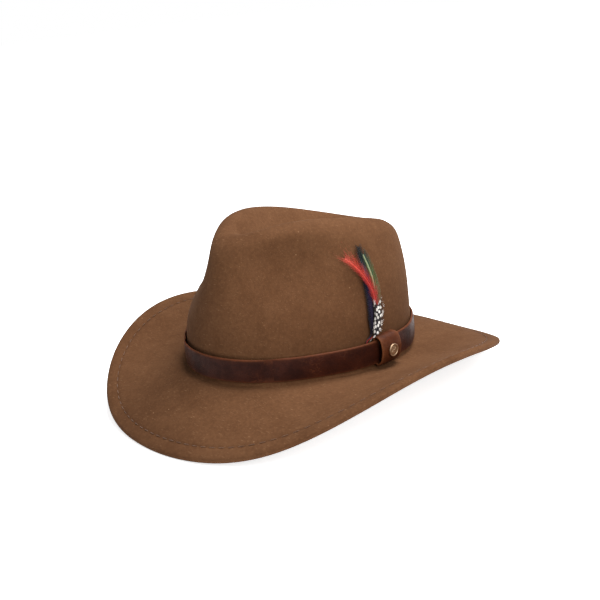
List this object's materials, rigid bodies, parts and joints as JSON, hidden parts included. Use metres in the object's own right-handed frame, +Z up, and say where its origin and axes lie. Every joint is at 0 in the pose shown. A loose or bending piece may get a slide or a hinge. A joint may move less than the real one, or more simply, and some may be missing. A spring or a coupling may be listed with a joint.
{
  "type": "fedora hat",
  "caption": "Wide-brimmed wool felt fedora with a teardrop crown, leather band, riveted keeper loop and a tucked feather bunch.",
  "frame": {"origin": "centre of the footprint, on the surface that the hat rests on", "axes": "+Z up, -Y the front of the hat, +X the wearer's left, where the feathers are"},
  "size_m": [0.3224, 0.3407, 0.1535],
  "materials": {
    "wool_felt": "matte brushed wool felt, mid brown",
    "steel_wire": "drawn spring wire",
    "brass_trim": "satin pale brass",
    "felt_thread": "dark brown sewing thread",
    "sweat_leather": "smooth tan roan leather",
    "reed_plastic": "flexible cream plastic",
    "cotton_tape": "woven cotton tape",
    "cream_thread": "cream sewing thread",
    "bow_ribbon": "dark grosgrain ribbon",
    "satin_lining": "bronze satin",
    "band_leather": "dark chocolate leather, waxed",
    "keeper_leather": "tan pull-up leather",
    "black_feather": "black barbs with a blue and violet sheen",
    "green_feather": "dyed green to olive barbs",
    "olive_feather": "dyed olive barbs",
    "red_feather": "dyed red hackle",
    "spotted_feather": "black guinea barbs with white spots"
  },
  "bodies": {
    "hat": {"felt_body": "wool_felt", "brim_wire": "steel_wire", "wire_joiner": "brass_trim", "brim_stitching": "felt_thread", "sweatband": "sweat_leather", "sweatband_reed": "reed_plastic", "sweatband_tape": "cotton_tape", "sweatband_stitching": "cream_thread", "sweatband_bow": "bow_ribbon", "size_tab": "cotton_tape", "lining_side": "satin_lining", "lining_tip": "satin_lining"},
    "band": {"hat_band": "band_leather", "band_stitching": "felt_thread"},
    "keeper": {"keeper_loop": "keeper_leather", "rivet_cap": "brass_trim", "rivet_post": "brass_trim", "rivet_burr": "brass_trim"},
    "feathers": {"black_feather": "black_feather", "green_feather": "green_feather", "olive_feather": "olive_feather", "red_hackle": "red_feather", "guinea_feather": "spotted_feather", "dark_feather": "black_feather", "quill_binding": "felt_thread"}
  },
  "joints": [
    {"name": "band_lift", "type": "slide", "parent": "hat", "child": "band", "axis": [0, 0.045, 0.999], "range_m": [0, 0.13]},
    {"name": "keeper_slide", "type": "hinge", "parent": "band", "child": "keeper", "pos_m": [-0.03262, 0.00306, 0.04666], "axis": [0, 0.045, 0.999], "range_deg": [0, 9]},
    {"name": "feather_pull", "type": "slide", "parent": "band", "child": "feathers", "axis": [-0.0086, 0.1033, 0.9946], "range_m": [0, 0.035]}
  ]
}
